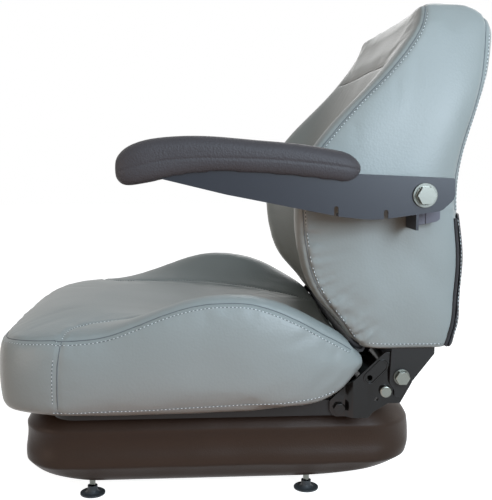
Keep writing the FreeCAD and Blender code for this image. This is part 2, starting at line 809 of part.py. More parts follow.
# Seat-side hinge bracket: joggled plate, folded upper edge, embossed pocket and holes
def hinge_bracket():
    inner = seat_bracket_x
    outer = inner + bracket_sheet
    ear_x = pan_half_width
    low = ear_z - ear_drop
    foot_y = ear_y + hinge_foot
    stop_low = stop_bolt_z - stop_edge
    edge_foot = (ear_y - ear_edge, ear_z + ear_shoulder)
    edge_head = (hinge_bolt_y - hinge_head_front, hinge_bolt_z + hinge_head_rise)
    corners = [(ear_y - ear_edge, low, ear_corner), (foot_y, low, hinge_corner / 2),
               (foot_y + hinge_foot_run, low + hinge_foot_rise, hinge_corner / 2),
               (stop_bolt_y + stop_bolt_side, stop_low, hinge_corner / 2),
               (hinge_bolt_y, stop_low, hinge_corner / 2),
               (hinge_bolt_y + hinge_edge, hinge_bolt_z - hinge_side, hinge_corner),
               (hinge_bolt_y + hinge_head_rear, edge_head[1], hinge_corner / 2),
               edge_head + (hinge_corner,), edge_foot + (hinge_corner,)]
    side = side_plate(corners, ear_x - 1, frame_x)
    bend = ear_y + ear_reach
    mitre = bracket_sheet * math.tan(math.radians(22.5))
    front = ear_y - 2 * ear_edge
    rear = hinge_bolt_y + 2 * hinge_edge
    path = [(ear_x, front), (ear_x + bracket_sheet, front), (ear_x + bracket_sheet, bend - mitre),
            (outer, bend + joggle - mitre), (outer, rear), (inner, rear), (inner, bend + joggle), (ear_x, bend)]
    points = [vec(x, y, low - 1) for x, y in path]
    bent = Part.Face(Part.makePolygon(points + points[:1])).extrude(vec(0, 0, edge_head[1] - low + 2))
    along = vec(0, edge_head[0] - edge_foot[0], edge_head[1] - edge_foot[1])
    across = vec(0, along.z, -along.y).normalize() * fold_sheet
    start = vec(inner - fold_width, *edge_foot) + along * 0.55
    end = vec(inner - fold_width, *edge_foot) + along * 0.97
    strip = Part.makePolygon([start, end, end + across, start + across, start])
    fold = Part.Face(strip).extrude(vec(fold_width + bracket_sheet, 0, 0))
    pocket_low = (ear_y + pocket_back, ear_z + pocket_up)
    pocket_high = (ear_y + pocket_back + pocket_run, ear_z + pocket_up + pocket_run)
    rim = link_bar(pocket_low, pocket_high, pocket_width + 2 * pocket_border, outer, outer + pocket_rim)
    rim = rim.cut(link_bar(pocket_low, pocket_high, pocket_width, outer, outer + pocket_rim))
    bracket = fused([side.common(bent), fold, rim])
    for d, y, z in ((ear_bolt_d, ear_y, ear_z), (hinge_bolt_d, hinge_bolt_y, hinge_bolt_z),
                    (stop_bolt_d, stop_bolt_y, stop_bolt_z)):
        bracket = bracket.cut(rod_x(d + 2 * run_gap, ear_x - 1, outer + 1, y, z))
    spare_hole = (spare_hole_d, ear_y + spare_hole_back, ear_z + spare_hole_up)
    for d, y, z in ((pocket_hole_d,) + pocket_low, spare_hole):
        bracket = bracket.cut(rod_x(d, ear_x - 1, outer + 1, y, z))
    return bracket


# Hex bolt along X from its tip to the underside of its head
def bolt_on(d, flats, head, tip_x, head_x, y, z):
    shank = rod_x(d, tip_x, head_x, y, z)
    return fused([shank, hex_x(flats, head_x, head_x + head, y, z)])


def nut_on(d, flats, length, x, y, z):
    return hex_x(flats, x - length, x, y, z).cut(rod_x(d + 2 * run_gap, x - length - 1, x + 1, y, z))


def washer_on(d, outer_d, x0, x1, y, z):
    return rod_x(outer_d, x0, x1, y, z).cut(rod_x(d + 2 * run_gap, x0 - 1, x1 + 1, y, z))


def stop_bolt():
    head_x = seat_bracket_x + bracket_sheet
    shank = rod_x(stop_bolt_d, seat_bracket_x - stop_nut - 1, head_x, stop_bolt_y, stop_bolt_z)
    head = rod_x(stop_bolt_head_d, head_x, head_x + stop_bolt_head, stop_bolt_y, stop_bolt_z)
    head = head.makeChamfer(1.2, [head.Edges[0]])
    return fused([shank, head])


def both(shape):
    return [shape, mirrored(shape)]


def arm_top(y):
    return arm_top_rear_z + (arm_rear - y) * arm_top_slope


# Side outline of the armrest bracket: straight top, bowed lower edge, rounded tail about the pivot
def arm_outline(x0, x1):
    z = arm_pivot_z
    corners = [(arm_front, arm_top(arm_front) - arm_nose_depth, arm_sheet),
               (arm_waist_y, z + arm_waist_rise, arm_waist_r),
               (arm_belly_front_y, z - arm_belly_front_drop, arm_belly_r),
               (arm_belly_rear_y, z - arm_belly_rear_drop, arm_belly_r),
               (arm_rear - arm_tail_r, z - arm_tail_drop, arm_tail_r),
               (arm_rear, z - arm_tail_side, arm_tail_r * 0.8),
               (arm_rear, arm_top(arm_rear), arm_sheet), (arm_front, arm_top(arm_front), arm_sheet)]
    return side_plate(corners, x0, x1)


# Part of the outline within one sheet of its upper or lower edge
def arm_fold(width, y0, y1, shift):
    inner = arm_outer_x - width
    band = arm_outline(inner, arm_outer_x)
    moved = band.copy()
    moved.translate(vec(0, 0, shift))
    limit = box(inner, arm_outer_x, y0, y1, arm_pivot_z - pad_height, arm_pivot_z + pad_height)
    return band.cut(moved).common(limit)


def armrest_bracket():
    inner = arm_outer_x - arm_sheet
    plate = arm_outline(inner, arm_outer_x)
    half = notch_width / 2
    flange = arm_fold(arm_flange, arm_front, arm_rear - arm_tail_end, -arm_sheet)
    lip = arm_fold(arm_lip, notch_front_y + half, notch_rear_y - half, arm_sheet)
    tab_rear = stop_front_y - loose_gap
    tab = box(stop_outer_x - stop_tab_overlap, arm_outer_x, tab_rear - arm_sheet, tab_rear,
              stop_top_z - stop_tab_depth, stop_top_z)
    bracket = fused([plate, flange, lip, tab])
    for y, drop in ((notch_front_y, arm_belly_front_drop), (notch_rear_y, arm_belly_rear_drop)):
        low = arm_pivot_z - drop
        slot = link_bar((y, low - notch_height), (y, low + notch_height - half), notch_width,
                        arm_outer_x - arm_flange - 1, arm_outer_x + 1)
        bracket = bracket.cut(slot)
    hole = rod_x(bush_spigot_d + 2 * run_gap, inner - 1, arm_outer_x + 1, arm_pivot_y, arm_pivot_z)
    for y in (pad_screw_front_y, pad_screw_rear_y):
        bracket = bracket.cut(rod_z(pad_screw_d + 2 * run_gap, pad_screw_x, y, arm_pivot_z, arm_top(y) + 1))
    return bracket.cut(hole)


def pivot_bush():
    shoulder = arm_outer_x - arm_sheet - loose_gap
    body = rod_x(bush_d, frame_x, shoulder, arm_pivot_y, arm_pivot_z)
    spigot = rod_x(bush_spigot_d, shoulder, arm_outer_x + loose_gap, arm_pivot_y, arm_pivot_z)
    bore = rod_x(arm_bolt_d + 2 * run_gap, frame_x - 1, arm_outer_x + 2, arm_pivot_y, arm_pivot_z)
    return fused([body, spigot]).cut(bore)


def arm_bolt():
    head_x = arm_outer_x + loose_gap + arm_washer
    tip_x = frame_x - bracket_sheet - arm_nut - arm_bolt_end
    shank = rod_x(arm_bolt_d, tip_x, head_x, arm_pivot_y, arm_pivot_z)
    flange = rod_x(arm_bolt_flats * 1.18, head_x, head_x + 1.5, arm_pivot_y, arm_pivot_z)
    head = hex_x(arm_bolt_flats, head_x + 1.5, head_x + arm_bolt_head, arm_pivot_y, arm_pivot_z)
    return fused([shank, flange, head])


# Moulded stop block under the bracket, with a peg into the back frame and a groove down its face
def armrest_stop():
    inner = back_half_width + stop_stand_off
    y = stop_front_y
    top = stop_top_z
    rear = y + stop_length
    middle = y + stop_length / 2
    corners = [(y, top - stop_depth, 2), (rear - stop_tail_run, top - stop_tail_depth - stop_tail_rise, 4),
               (rear, top - stop_tail_depth, 2), (rear, top, 2), (y, top, 2)]
    block = side_plate(corners, inner, stop_outer_x)
    groove = box(stop_outer_x - stop_groove_depth, stop_outer_x + 1, middle - stop_groove, middle,
                 top - stop_depth - 1, top + 1)
    peg = rod_x(stop_peg_d, frame_x, inner + 1, stop_peg_y, stop_peg_z)
    return fused([block.cut(groove), peg])


# Pad stations from front to rear: length share, top and bottom as shares of the height, width share
pad_stations = [
    (0.000, 0.450, 0.229, 0.50),
    (0.009, 0.596, 0.101, 0.72),
    (0.044, 0.771, 0.000, 0.90),
    (0.116, 0.917, 0.046, 1.00),
    (0.244, 1.000, 0.165, 1.00),
    (0.393, 1.000, 0.248, 1.00),
    (0.545, 0.936, 0.229, 1.00),
    (0.698, 0.872, 0.174, 1.00),
    (0.855, 0.761, 0.083, 1.00),
    (0.935, 0.679, 0.037, 0.96),
    (0.978, 0.550, 0.101, 0.84),
    (1.000, 0.394, 0.229, 0.50),
]


def pad_section(station):
    along, high, low, width = station
    y = mix(pad_front, pad_rear, along)
    top = pad_low_z + pad_height * high
    bottom = pad_low_z + pad_height * low
    reach = pad_half_width * width
    radius = min(pad_round, (top - bottom) * 0.42)
    corners = [(-reach, bottom, radius), (reach, bottom, radius), (reach, top, radius), (-reach, top, radius)]
    return outline(corners, lambda a, b: vec(pad_centre_x + a, y, b))


def armrest_pad():
    pad = skin([pad_section(station) for station in pad_stations])
    front = arm_front - soft_gap
    rear = arm_rear
    low = arm_pivot_z
    corners = [(front, low, 0), (rear, low, 0), (rear, arm_top(rear), 0), (front, arm_top(front), 0)]
    pad = pad.cut(side_plate(corners, arm_outer_x - arm_flange - soft_gap, arm_outer_x + soft_gap))
    for y in (pad_screw_front_y, pad_screw_rear_y):
        depth = arm_top(y) + pad_screw_length + loose_gap
        pad = pad.cut(rod_z(pad_screw_d + 2 * run_gap, pad_screw_x, y, low, depth))
    return pad


def pad_screws():
    screws = []
    for y in (pad_screw_front_y, pad_screw_rear_y):
        under = arm_top(y) - arm_sheet - pad_screw_head_d / 2 * arm_top_slope
        shank = rod_z(pad_screw_d, pad_screw_x, y, under, arm_top(y) + pad_screw_length)
        head = rod_z(pad_screw_head_d, pad_screw_x, y, under - pad_screw_head, under)
        screws.append(fused([shank, head]))
    return screws


save("base_tray", base_tray())
save_group("mounting_studs", mounting_studs())
save_group("stud_feet", stud_feet())
save("top_plate", top_plate())
save_group("pan_bolts", pan_bolts())
save_pair("inner_link", inner_link())
save_pair("outer_link", outer_link())
save("lower_shaft", lower_shaft())
save("upper_shaft", upper_shaft())
save_group("centre_pins", both(centre_pin()))
save_group("upper_roller_axles", both(inner_axle()))
save_group("lower_roller_axles", both(outer_axle()))
save_pair("upper_roller", roller(inner_roller_x, high_pivot_z))
save_pair("lower_roller", roller(outer_roller_x, low_pivot_z))
save_pair("suspension_spring", suspension_spring())
save_group("bump_stops", bump_stops())
save("suspension_boot", suspension_boot())
save("seat_pan", seat_pan())
save("seat_cushion", seat_cushion())
save("back_frame", back_frame())
save("backrest_cushion", backrest_cushion())
save("rear_cover", rear_cover())
save_pair("hinge_bracket", hinge_bracket())
ear_place = (ear_y, ear_z)
ear_head_x = pan_half_width + bracket_sheet
ear_nut_x = pan_half_width - pan_sheet
ear_bolt = bolt_on(ear_bolt_d, ear_bolt_flats, ear_bolt_head, ear_nut_x - ear_nut - 1, ear_head_x, *ear_place)
save_group("ear_bolts", both(ear_bolt))
save_group("ear_nuts", both(nut_on(ear_bolt_d, ear_bolt_flats, ear_nut, ear_nut_x, *ear_place)))
hinge_place = (hinge_bolt_y, hinge_bolt_z)
hinge_head_x = frame_x + hinge_washer
hinge_tip_x = seat_bracket_x - hinge_nut - 2
hinge_bolt = bolt_on(hinge_bolt_d, hinge_bolt_flats, hinge_bolt_head, hinge_tip_x, hinge_head_x, *hinge_place)
save_group("hinge_bolts", both(hinge_bolt))
save_group("hinge_washers", both(washer_on(hinge_bolt_d, hinge_washer_d, frame_x, hinge_head_x, *hinge_place)))
save_group("hinge_nuts", both(nut_on(hinge_bolt_d, hinge_bolt_flats, hinge_nut, seat_bracket_x, *hinge_place)))
stop_place = (stop_bolt_y, stop_bolt_z)
save_group("stop_bolts", both(stop_bolt()))
save_group("stop_nuts", both(nut_on(stop_bolt_d, stop_nut_flats, stop_nut, seat_bracket_x, *stop_place)))
pivot_place = (arm_pivot_y, arm_pivot_z)
washer_x = arm_outer_x + loose_gap
save_pair("armrest_bracket", armrest_bracket())
save_pair("armrest_pad", armrest_pad())
for side, group in (("left", pad_screws()), ("right", [mirrored(screw) for screw in pad_screws()])):
    save_group("pad_screws_" + side, group)
save_pair("pivot_bush", pivot_bush())
save_group("arm_bolts", both(arm_bolt()))
arm_washer_ring = washer_on(arm_bolt_d, arm_washer_d, washer_x, washer_x + arm_washer, *pivot_place)
save_group("arm_washers", both(arm_washer_ring))
frame_inner_x = frame_x - bracket_sheet
save_group("arm_nuts", both(nut_on(arm_bolt_d, arm_bolt_flats, arm_nut, frame_inner_x, *pivot_place)))
save_pair("armrest_stop", armrest_stop())
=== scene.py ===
import bmesh
import bpy
import json
import math
from mathutils import Matrix, Vector, noise
from mathutils.bvhtree import BVHTree
from mathutils.kdtree import KDTree


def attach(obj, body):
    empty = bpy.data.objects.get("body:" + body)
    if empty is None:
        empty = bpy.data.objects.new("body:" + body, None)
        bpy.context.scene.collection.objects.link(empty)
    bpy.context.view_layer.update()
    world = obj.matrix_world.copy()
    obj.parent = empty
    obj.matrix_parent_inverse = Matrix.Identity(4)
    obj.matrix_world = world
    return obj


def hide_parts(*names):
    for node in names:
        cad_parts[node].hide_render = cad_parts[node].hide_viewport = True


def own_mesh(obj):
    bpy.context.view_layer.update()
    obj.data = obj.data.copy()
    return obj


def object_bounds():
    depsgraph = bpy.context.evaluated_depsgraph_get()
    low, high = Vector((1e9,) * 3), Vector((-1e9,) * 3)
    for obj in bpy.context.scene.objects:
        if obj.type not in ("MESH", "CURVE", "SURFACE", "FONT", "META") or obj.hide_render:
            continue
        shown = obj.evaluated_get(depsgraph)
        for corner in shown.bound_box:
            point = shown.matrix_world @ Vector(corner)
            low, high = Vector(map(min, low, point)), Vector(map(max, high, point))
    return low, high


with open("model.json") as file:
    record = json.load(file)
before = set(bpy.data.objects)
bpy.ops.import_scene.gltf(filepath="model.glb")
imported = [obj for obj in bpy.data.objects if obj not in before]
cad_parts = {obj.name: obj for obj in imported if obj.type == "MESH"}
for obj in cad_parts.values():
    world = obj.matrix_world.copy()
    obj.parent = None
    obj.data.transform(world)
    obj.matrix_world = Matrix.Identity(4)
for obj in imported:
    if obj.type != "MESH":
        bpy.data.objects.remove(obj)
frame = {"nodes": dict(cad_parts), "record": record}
cadLow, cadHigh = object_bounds()
cadNodes = frame["nodes"]
scene = bpy.context.scene
scene.view_settings.view_transform = "Standard"
mm = 0.001
white = (1, 1, 1, 1)
print("frame: %d nodes" % len(cadNodes))


def toLinear(hexText):
    channels = [int(hexText[i:i + 2], 16) / 255 for i in (1, 3, 5)]
    return [c / 12.92 if c <= 0.04045 else ((c + 0.055) / 1.055) ** 2.4 for c in channels] + [1.0]


def addNode(tree, kind, inputs=None, **settings):
    node = tree.nodes.new(kind)
    for name, value in settings.items():
        setattr(node, name, value)
    for name, value in (inputs or {}).items():
        if isinstance(value, bpy.types.NodeSocket):
            tree.links.new(value, node.inputs[name])
        else:
            node.inputs[name].default_value = value
    return node


def newMaterial(name):
    material = bpy.data.materials.new(name)
    material.use_nodes = True
    material.node_tree.nodes.clear()
    return material, material.node_tree


# skin with a raised grain and slow clouds of colour and shine
def grainedSkin(look):
    roughSpread = 0.06
    material, tree = newMaterial(look["name"])
    where = addNode(tree, "ShaderNodeTexCoord").outputs["Object"]
    grain = addNode(tree, "ShaderNodeTexVoronoi", {"Vector": where, "Scale": 1 / (look["grainMm"] * mm)})
    cloud = addNode(tree, "ShaderNodeTexNoise", {"Vector": where, "Scale": 1 / (look["cloudMm"] * mm), "Detail": 4.0})
    tint = addNode(tree, "ShaderNodeMix", {0: cloud.outputs[0], 6: toLinear(look["colour"]),
                                           7: toLinear(look["paleColour"])}, data_type="RGBA")
    rough = addNode(tree, "ShaderNodeMapRange", {"Value": cloud.outputs[0], "To Min": look["roughness"] - roughSpread,
                                                 "To Max": look["roughness"] + roughSpread})
    raised = addNode(tree, "ShaderNodeBump", {"Height": grain.outputs["Distance"], "Strength": look["grainStrength"],
                                              "Distance": look["grainDepthMm"] * mm})
    shader = addNode(tree, "ShaderNodeBsdfPrincipled", {"Base Color": tint.outputs[2], "Roughness": rough.outputs[0],
                                                        "Normal": raised.outputs[0], "Specular IOR Level": look["shine"]})
    addNode(tree, "ShaderNodeOutputMaterial", {"Surface": shader.outputs[0]})
    return material


# even finish with fine specks
def plainFinish(look):
    roughShare = 0.2
    speckDepthMm = 0.2
    material, tree = newMaterial(look["name"])
    where = addNode(tree, "ShaderNodeTexCoord").outputs["Object"]
    speck = addNode(tree, "ShaderNodeTexNoise", {"Vector": where, "Scale": 1 / (look["speckMm"] * mm), "Detail": 2.0})
    rough = addNode(tree, "ShaderNodeMapRange", {"Value": speck.outputs[0], "To Min": look["roughness"] * (1 - roughShare),
                                                 "To Max": look["roughness"] * (1 + roughShare)})
    raised = addNode(tree, "ShaderNodeBump", {"Height": speck.outputs[0], "Strength": look["speckStrength"],
                                              "Distance": speckDepthMm * mm})
    shader = addNode(tree, "ShaderNodeBsdfPrincipled", {"Base Color": toLinear(look["colour"]),
                                                        "Roughness": rough.outputs[0],
                                                        "Normal": raised.outputs[0], "Metallic": look["metallic"],
                                                        "Specular IOR Level": look["shine"]})
    addNode(tree, "ShaderNodeOutputMaterial", {"Surface": shader.outputs[0]})
    return material


# PVC vinyl on a knit back, embossed with a leather grain: an even colour with a broad soft sheen.
# The real grain is about 1 mm, drawn at 3 mm so that it shows
greyVinyl = grainedSkin({"name": "greyPvcVinyl", "colour": "#858a87", "paleColour": "#8d928f",
                         "roughness": 0.38, "shine": 0.27,
                         "grainMm": 3.0, "grainDepthMm": 0.3, "grainStrength": 0.4, "cloudMm": 90.0})
# the same vinyl in black
blackVinyl = grainedSkin({"name": "blackPvcVinyl", "colour": "#17171a", "paleColour": "#1d1d20",
                          "roughness": 0.45, "shine": 0.3,
                          "grainMm": 2.4, "grainDepthMm": 0.25, "grainStrength": 0.25, "cloudMm": 60.0})
# vacuum-formed soft PVC sheet: black with a warm brown tint, which is a painted reflection of the warm floor; leather
# grain, wide grey highlights on its shoulders
bootSheet = grainedSkin({"name": "blackSoftPvcSheet", "colour": "#2f241d", "paleColour": "#372a22",
                         "roughness": 0.42, "shine": 0.12,
                         "grainMm": 2.0, "grainDepthMm": 0.3, "grainStrength": 0.35, "cloudMm": 70.0})
# integral-skin polyurethane foam, moulded: charcoal, dry fine grain
padFoam = grainedSkin({"name": "integralSkinPolyurethane", "colour": "#353234", "paleColour": "#3e3b3d",
                       "roughness": 0.55, "shine": 0.24,
                       "grainMm": 2.2, "grainDepthMm": 0.4, "grainStrength": 0.8, "cloudMm": 40.0})
# bonded polyester thread: pale, with little shine
thread = plainFinish({"name": "polyesterThread", "colour": "#dce1e0", "roughness": 0.6, "metallic": 0.0, "shine": 0.3,
                      "speckMm": 0.8, "speckStrength": 0.1})
# grey cords of painted shade: the shadow in the fold where two panels are sewn together, and in the needle lines of the
# stitching
seamShade = plainFinish({"name": "foldedVinylEdge", "colour": "#666b6d", "roughness": 0.6, "metallic": 0.0, "shine": 0.2,
                        "speckMm": 2.0, "speckStrength": 0.0})
# satin powder coat on pressed steel
satinCoat = plainFinish({"name": "satinPowderCoat", "colour": "#1b1f27", "roughness": 0.33, "metallic": 0.0, "shine": 0.37,
                         "speckMm": 1.5, "speckStrength": 0.08})
# dipped black enamel, glossy, with sharp small highlights
glossEnamel = plainFinish({"name": "glossBlackEnamel", "colour": "#0d0a08", "roughness": 0.14, "metallic": 0.0,
                           "shine": 0.26, "speckMm": 6.0, "speckStrength": 0.12})
# plain black paint on hidden steel
mattPaint = plainFinish({"name": "mattBlackPaint", "colour": "#161514", "roughness": 0.5, "metallic": 0.0, "shine": 0.25,
                         "speckMm": 1.5, "speckStrength": 0.08})
# bright zinc plate: pale, slightly clouded metal
zincPlate = plainFinish({"name": "brightZincPlate", "colour": "#6f716b", "roughness": 0.24, "metallic": 1.0, "shine": 0.5,
                         "speckMm": 3.0, "speckStrength": 0.05})
# the same plate on pressed washers, duller
dullZinc = plainFinish({"name": "dullZincPlate", "colour": "#62645f", "roughness": 0.36, "metallic": 1.0, "shine": 0.5,
                        "speckMm": 2.0, "speckStrength": 0.1})
# oiled spring steel wire
springWire = plainFinish({"name": "oiledSpringSteel", "colour": "#6a6a6c", "roughness": 0.35, "metallic": 1.0, "shine": 0.5,
                          "speckMm": 2.0, "speckStrength": 0.05})
# moulded polyethylene, black
blackPlastic = plainFinish({"name": "mouldedBlackPolyethylene", "colour": "#36393b", "roughness": 0.45,
                            "metallic": 0.0, "shine": 0.3, "speckMm": 1.2, "speckStrength": 0.1})
# stop block with a speckled face: black textured plastic drawn grey, the grey a painted highlight of window light on it
stopBlockGreyLit = plainFinish({"name": "cutGreyRubber", "colour": "#66656d", "roughness": 0.65, "metallic": 0.0, "shine": 0.3,
                         "speckMm": 2.0, "speckStrength": 0.5})
# cast nylon, natural
nylon = plainFinish({"name": "naturalNylon", "colour": "#d6d2c4", "roughness": 0.5, "metallic": 0.0, "shine": 0.4,
                     "speckMm": 2.0, "speckStrength": 0.05})
# moulded buffer rubber
bumpRubber = plainFinish({"name": "mouldedRubber", "colour": "#1a1a1a", "roughness": 0.7, "metallic": 0.0, "shine": 0.2,
                          "speckMm": 1.5, "speckStrength": 0.1})

finishOfSlot = {"grey_vinyl": greyVinyl, "black_vinyl": blackVinyl, "boot_rubber": bootSheet, "pad_skin_foam": padFoam,
                "satin_black_steel": satinCoat, "gloss_black_steel": glossEnamel, "matt_black_steel": mattPaint,
                "zinc_steel": zincPlate, "spring_steel": springWire, "black_plastic": blackPlastic, "roller_nylon": nylon,
                "bump_rubber": bumpRubber}
slotOf = {part["node"]: part["material_slot"] for part in frame["record"]["subparts"]}
slotOf["ear_bolts"] = "gloss_black_steel"  # black in the photo
bodyOf = {node: body for body, nodes in frame["record"]["behaviour"]["bodies"].items() for node in nodes}
for nodeName, node in cadNodes.items():
    node.data.materials.clear()
    node.data.materials.append(finishOfSlot[slotOf[nodeName]])
print("materials: %d" % len(bpy.data.materials))


def newPiece(name, bm, material):
    mesh = bpy.data.meshes.new(name)
    bm.to_mesh(mesh)
    bm.free()
    piece = bpy.data.objects.new(name, mesh)
    scene.collection.objects.link(piece)
    mesh.materials.append(material)
    mesh.shade_smooth()
    return piece


def copyOf(nodeName):
    mergeDistance = 0.001 * mm
    bm = bmesh.new()
    bm.from_mesh(cadNodes[nodeName].data)
    bmesh.ops.remove_doubles(bm, verts=bm.verts, dist=mergeDistance)
    return bm


def baked(piece):
    ready = bpy.context.evaluated_depsgraph_get()
    mesh = bpy.data.meshes.new_from_object(piece.evaluated_get(ready))
    old = piece.data
    piece.modifiers.clear()
    piece.data = mesh
    bpy.data.meshes.remove(old)
    return piece


# even small faces with softened edges
def addEvenFaces(piece, look):
    even = piece.modifiers.new("evenFaces", "REMESH")
    even.mode = "VOXEL"
    even.voxel_size = look["voxelMm"] * mm
    soft = piece.modifiers.new("soften", "SMOOTH")
    soft.factor = 0.5
    soft.iterations = look["softenSteps"]


def addSubdivision(piece, levels):
    finer = piece.modifiers.new("finer", "SUBSURF")
    finer.levels = levels
    finer.render_levels = levels


def standsFor(piece, nodeName):
    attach(piece, bodyOf[nodeName])
    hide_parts(nodeName)


# the same line in equal steps
def evenly(line, spacing):
    kept = [line[0]]
    carried = 0.0
    for a, b in zip(line, line[1:]):
        gap = (b - a).length
        while carried + gap >= spacing:
            a = a.lerp(b, (spacing - carried) / gap)
            kept.append(a)
            gap = (b - a).length
            carried = 0.0
        carried += gap
    return kept


# smooth line through points in millimetres
def smoothLine(pointsMm, spacingMm):
    points = [Vector(p) * mm for p in pointsMm]
    held = [points[0] * 2 - points[1]] + points + [points[-1] * 2 - points[-2]]
    cuts = 20
    dense = []
    for a, b, c, d in zip(held, held[1:], held[2:], held[3:]):
        for i in range(cuts):
            t = i / cuts
            square = (a * 2 - b * 5 + c * 4 - d) * t ** 2
            cube = (b * 3 - a - c * 3 + d) * t ** 3
            dense.append((b * 2 + (c - a) * t + square + cube) / 2)
    return evenly(dense + [points[-1]], spacingMm * mm)


def mirroredMm(points):
    return [(-x, y, z) for x, y, z in points]


# the line set on a surface and evened out there
def settled(line, surface):
    settleSteps = 40
    places = [surface.find_nearest(point)[0] for point in line]
    for step in range(settleSteps):
        between = [b.lerp((a + c) / 2, 0.5) for a, b, c in zip(places, places[1:], places[2:])]
        places = [places[0]] + [surface.find_nearest(point)[0] for point in between] + [places[-1]]
    return places


# the same places with the small steps of the mesh taken out
def calmed(laid, steps):
    for step in range(steps):
        middle = [(b.lerp((a + c) / 2, 0.5), up)
                  for (a, before), (b, up), (c, after) in zip(laid, laid[1:], laid[2:])]
        laid = [laid[0]] + middle + [laid[-1]]
    return laid


# the line moved sideways over a surface and set on it
def laidOn(line, surface, asideMm=0.0, liftMm=0.0):
    laid = []
    for i, point in enumerate(line):
        along = (line[min(i + 1, len(line) - 1)] - line[max(i - 1, 0)]).normalized()
        place, normal = surface.find_nearest(point)[:2]
        if asideMm:
            sideways = normal.cross(along).normalized()
            place, normal = surface.find_nearest(place + sideways * asideMm * mm)[:2]
        laid.append((place + normal * liftMm * mm, normal))
    return laid


def surfaceOf(piece):
    bm = bmesh.new()
    bm.from_mesh(piece.data)
    surface = BVHTree.FromBMesh(bm)
    bm.free()
    return surface


def treeOf(points):
    tree = KDTree(len(points))
    for i, point in enumerate(points):
        tree.insert(point, i)
    tree.balance()
    return tree


# rows of short threads, one between each two points of a row
def stitched(name, rows, look, body):
    bm = bmesh.new()
    half = mm / 2
    size = Matrix.Diagonal((look["lengthMm"] * half, look["widthMm"] * half, look["heightMm"] * half, 1))
    for row in rows:
        for (a, up), (b, other) in zip(row, row[1:]):
            along = (b - a).normalized()
            side = up.cross(along).normalized()
            turn = Matrix((along, side, along.cross(side))).transposed().to_4x4()
            place = Matrix.Translation((a + b) / 2) @ turn @ size
            bmesh.ops.create_icosphere(bm, subdivisions=1, radius=1, matrix=place)
    piece = newPiece(name, bm, thread)
    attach(piece, body)


# round cord along laid lines
def corded(name, lines, radiusMm, material, body):
    path = bpy.data.curves.new(name + "Path", "CURVE")
    path.dimensions = "3D"
    path.bevel_depth = radiusMm * mm
    path.bevel_resolution = 1
    path.use_fill_caps = True
    for line in lines:
        spline = path.splines.new("POLY")
        spline.points.add(len(line) - 1)
        for knot, (place, normal) in zip(spline.points, line):
            knot.co = (*place, 1)
    holder = bpy.data.objects.new(name + "Path", path)
    scene.collection.objects.link(holder)
    ready = bpy.context.evaluated_depsgraph_get()
    mesh = bpy.data.meshes.new_from_object(holder.evaluated_get(ready))
    bpy.data.objects.remove(holder)
    mesh.materials.clear()
    mesh.materials.append(material)
    mesh.shade_smooth()
    piece = bpy.data.objects.new(name, mesh)
    scene.collection.objects.link(piece)
    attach(piece, body)
    return piece


# foam block covered in panels: even faces, held along its seams, then blown up a little by its filling
def stuffed(name, bm, seamLines, look):
    piece = newPiece(name, bm, greyVinyl)
    addEvenFaces(piece, look)
    baked(piece)
    surface = surfaceOf(piece)
    seamLines = [settled(line, surface) for line in seamLines]
    sewn = treeOf([place for line in seamLines for place in line])
    mesh = piece.data
    normals = [vertex.normal.copy() for vertex in mesh.vertices]
    for vertex, normal in zip(mesh.vertices, normals):
        vertex.co -= normal * look["insetMm"] * mm
    start = [vertex.co.copy() for vertex in mesh.vertices]
    far = [sewn.find(place)[2] / mm for place in start]
    held = piece.vertex_groups.new(name="sewn")
    fixed = [i for i, gap in enumerate(far) if gap < look["heldMm"] or look["rests"](start[i] / mm)]
    held.add(fixed, 1.0, "REPLACE")
    filling = piece.modifiers.new("filling", "CLOTH")
    filling.settings.use_pressure = True
    filling.settings.uniform_pressure_force = look["pressure"]
    filling.settings.effector_weights.gravity = 0
    filling.settings.vertex_group_mass = "sewn"
    filling.point_cache.frame_end = look["frames"]
    for number in range(1, look["frames"] + 1):
        scene.frame_set(number)
    swollen = piece.evaluated_get(bpy.context.evaluated_depsgraph_get())
    moved = [vertex.co.copy() for vertex in swollen.data.vertices]
    piece.modifiers.clear()
    piece.vertex_groups.clear()
    scene.frame_set(1)
    for vertex, old, new in zip(mesh.vertices, start, moved):
        shift = new - old
        if shift.length > look["capMm"] * mm:
            shift = shift.normalized() * look["capMm"] * mm
        vertex.co = old + shift
    addSubdivision(piece, 1)
    baked(piece)
    piece.data.shade_smooth()
    return piece, seamLines


# draws the seams into a cushion, with small gathers beside them and soft folds
def drawnIn(piece, seamLines, look):
    rowShift = 5.3
    offset = 0.4
    fadeMm = 80
    mesh = piece.data
    surface = surfaceOf(piece)
    places = []
    runs = []
    for number, line in enumerate(seamLines):
        for i, (place, normal) in enumerate(laidOn(line, surface)):
            places.append(place)
            runs.append(Vector((i * look["stepMm"] / look["gatherMm"], number * rowShift + offset, offset)))
    seams = treeOf(places)
    folds = [(Vector(a) * mm, Vector(b) * mm, depth, width) for a, b, depth, width in look["folds"]]
    normals = [vertex.normal.copy() for vertex in mesh.vertices]
    for vertex, normal in zip(mesh.vertices, normals):
        place, index, gap = seams.find(vertex.co)
        gap /= mm
        sink = look["uneven"] * noise.noise(vertex.co / (look["unevenMm"] * mm))
        sink += look["depth"] * math.exp(-(gap / look["width"]) ** 2)
        reach = gap / look["gatherReach"]
        loose = min(1, max(0, (look["gatherTopMm"] - vertex.co.z / mm) / fadeMm)) * abs(normal.x) ** look["gatherSide"]
        sink += look["gather"] * loose * noise.noise(runs[index]) * reach * math.exp(1 - reach)
        for a, b, depth, width in folds:
            share = min(1, max(0, (vertex.co - a).dot(b - a) / (b - a).length_squared))
            away = (vertex.co - a.lerp(b, share)).length / mm
            sink += depth * math.sin(math.pi * share) * math.exp(-(away / width) ** 2)
        vertex.co -= normal * sink * mm


# Thread of the topstitching, and a thin dark cord under it, painted shade of the needle line it lies in
stitchLook = {"pitchMm": 4.8, "lengthMm": 3.6, "widthMm": 0.9, "heightMm": 1.0, "liftMm": 0.3,
              "calmSteps": 6, "needleMm": 0.35}
